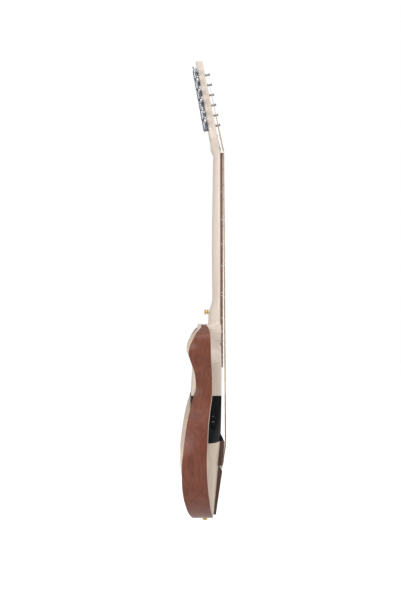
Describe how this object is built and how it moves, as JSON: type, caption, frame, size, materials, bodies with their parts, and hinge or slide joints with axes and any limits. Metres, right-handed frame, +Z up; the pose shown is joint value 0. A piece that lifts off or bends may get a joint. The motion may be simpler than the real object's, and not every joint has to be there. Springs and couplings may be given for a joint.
{
  "type": "open-frame electric guitar",
  "caption": "Slim-bodied electric guitar with an arched centre block, a black control section, curved side frames and an angled in-line head.",
  "frame": {"origin": "middle of the flat outer face of the tail strap button screw", "axes": "+Z up the neck towards the head, +X out of the front where the strings are, +Y to the treble side"},
  "size_m": [0.1006, 0.3342, 1.028],
  "materials": {
    "maple": "satin clear lacquer over pale maple",
    "mahogany": "glossy clear lacquer over red-brown mahogany",
    "rosewood": "oiled dark rosewood",
    "black_plastic": "fine matt black",
    "chrome": "bright chrome plate",
    "cast_metal": "dark chrome plated zinc casting",
    "gold": "gold plated",
    "steel": "plain steel",
    "bronze": "bronze wound string",
    "bone": "off-white moulded nut and saddle",
    "board": "green circuit board",
    "cell": "plain dark battery case"
  },
  "bodies": {
    "guitar": {"neck_spine": "maple", "fretboard": "rosewood", "nut": "bone", "truss_rod": "steel", "truss_rod_cover": "black_plastic", "cover_screw_bass": "steel", "cover_screw_treble": "steel", "cover_screw_upper": "steel", "lower_body": "maple", "bridge": "rosewood", "saddle": "bone", "pickup_strip": "steel", "tail_strip": "rosewood", "control_housing": "black_plastic", "back_cover": "black_plastic", "back_screw_lower": "steel", "back_screw_upper": "steel", "battery": "cell", "circuit_board": "board", "pot_board": "steel", "line_jack": "chrome", "phones_jack": "chrome", "supply_jack": "black_plastic", "power_switch": "steel", "bass_frame_core": "maple", "bass_frame_skin": "mahogany", "treble_frame_core": "maple", "treble_frame_skin": "mahogany", "heel_strap_button": "gold", "heel_strap_screw": "gold", "tail_strap_button": "gold", "tail_strap_screw": "gold", "tuner_housing_1": "cast_metal", "string_1": "steel", "tuner_housing_2": "cast_metal", "string_2": "steel", "tuner_housing_3": "cast_metal", "string_3": "bronze", "tuner_housing_4": "cast_metal", "string_4": "bronze", "tuner_housing_5": "cast_metal", "string_5": "bronze", "tuner_housing_6": "cast_metal", "string_6": "bronze"},
    "tuner_1_shaft": {"tuner_button_1": "chrome"},
    "tuner_1_post": {"tuner_post_1": "chrome"},
    "tuner_2_shaft": {"tuner_button_2": "chrome"},
    "tuner_2_post": {"tuner_post_2": "chrome"},
    "tuner_3_shaft": {"tuner_button_3": "chrome"},
    "tuner_3_post": {"tuner_post_3": "chrome"},
    "tuner_4_shaft": {"tuner_button_4": "chrome"},
    "tuner_4_post": {"tuner_post_4": "chrome"},
    "tuner_5_shaft": {"tuner_button_5": "chrome"},
    "tuner_5_post": {"tuner_post_5": "chrome"},
    "tuner_6_shaft": {"tuner_button_6": "chrome"},
    "tuner_6_post": {"tuner_post_6": "chrome"},
    "volume_control": {"volume_wheel": "black_plastic"},
    "tone_control": {"tone_wheel": "black_plastic"},
    "power_key": {"power_button": "cast_metal"},
    "battery_lid": {"battery_door": "black_plastic"}
  },
  "joints": [
    {"name": "tuner_1_turn", "type": "hinge", "parent": "guitar", "child": "tuner_1_shaft", "pos_m": [-0.02242, -0.042, 1.00499], "axis": [0, 1, 0], "continuous": true},
    {"name": "tuner_2_turn", "type": "hinge", "parent": "guitar", "child": "tuner_2_shaft", "pos_m": [-0.01833, -0.045, 0.98185], "axis": [0, 1, 0], "continuous": true},
    {"name": "tuner_3_turn", "type": "hinge", "parent": "guitar", "child": "tuner_3_shaft", "pos_m": [-0.01423, -0.048, 0.95871], "axis": [0, 1, 0], "continuous": true},
    {"name": "tuner_4_turn", "type": "hinge", "parent": "guitar", "child": "tuner_4_shaft", "pos_m": [-0.01014, -0.051, 0.93557], "axis": [0, 1, 0], "continuous": true},
    {"name": "tuner_5_turn", "type": "hinge", "parent": "guitar", "child": "tuner_5_shaft", "pos_m": [-0.00604, -0.054, 0.91243], "axis": [0, 1, 0], "continuous": true},
    {"name": "tuner_6_turn", "type": "hinge", "parent": "guitar", "child": "tuner_6_shaft", "pos_m": [-0.00194, -0.057, 0.88929], "axis": [0, 1, 0], "continuous": true},
    {"name": "post_1_turn", "type": "hinge", "parent": "guitar", "child": "tuner_1_post", "pos_m": [-0.01469, -0.002, 0.9957], "axis": [0.9847, 0, 0.1743], "continuous": true},
    {"name": "post_2_turn", "type": "hinge", "parent": "guitar", "child": "tuner_2_post", "pos_m": [-0.01059, -0.005, 0.97256], "axis": [0.9847, 0, 0.1743], "continuous": true},
    {"name": "post_3_turn", "type": "hinge", "parent": "guitar", "child": "tuner_3_post", "pos_m": [-0.00649, -0.008, 0.94942], "axis": [0.9847, 0, 0.1743], "continuous": true},
    {"name": "post_4_turn", "type": "hinge", "parent": "guitar", "child": "tuner_4_post", "pos_m": [-0.0024, -0.011, 0.92628], "axis": [0.9847, 0, 0.1743], "continuous": true},
    {"name": "post_5_turn", "type": "hinge", "parent": "guitar", "child": "tuner_5_post", "pos_m": [0.0017, -0.014, 0.90314], "axis": [0.9847, 0, 0.1743], "continuous": true},
    {"name": "post_6_turn", "type": "hinge", "parent": "guitar", "child": "tuner_6_post", "pos_m": [0.00579, -0.017, 0.88], "axis": [0.9847, 0, 0.1743], "continuous": true},
    {"name": "volume_turn", "type": "hinge", "parent": "guitar", "child": "volume_control", "pos_m": [0.0159, -0.048, 0.2457], "axis": [1, 0, 0], "range_deg": [-135, 135]},
    {"name": "tone_turn", "type": "hinge", "parent": "guitar", "child": "tone_control", "pos_m": [0.0159, -0.05673, 0.2197], "axis": [1, 0, 0], "range_deg": [-135, 135]},
    {"name": "power_push", "type": "slide", "parent": "guitar", "child": "power_key", "axis": [0, -0.9349, -0.355], "range_m": [0, 0.0015], "stiffness_N_per_m": 400, "springref_m": -0.001},
    {"name": "battery_lid_swing", "type": "hinge", "parent": "guitar", "child": "battery_lid", "pos_m": [-0.0326, -0.0194, 0.21995], "axis": [0, 0, -1], "range_deg": [0, 100]}
  ],
  "couplings": [
    {"joint": "post_1_turn", "follows": "tuner_1_turn", "ratio": 0.071429},
    {"joint": "post_2_turn", "follows": "tuner_2_turn", "ratio": 0.071429},
    {"joint": "post_3_turn", "follows": "tuner_3_turn", "ratio": 0.071429},
    {"joint": "post_4_turn", "follows": "tuner_4_turn", "ratio": 0.071429},
    {"joint": "post_5_turn", "follows": "tuner_5_turn", "ratio": 0.071429},
    {"joint": "post_6_turn", "follows": "tuner_6_turn", "ratio": 0.071429}
  ]
}
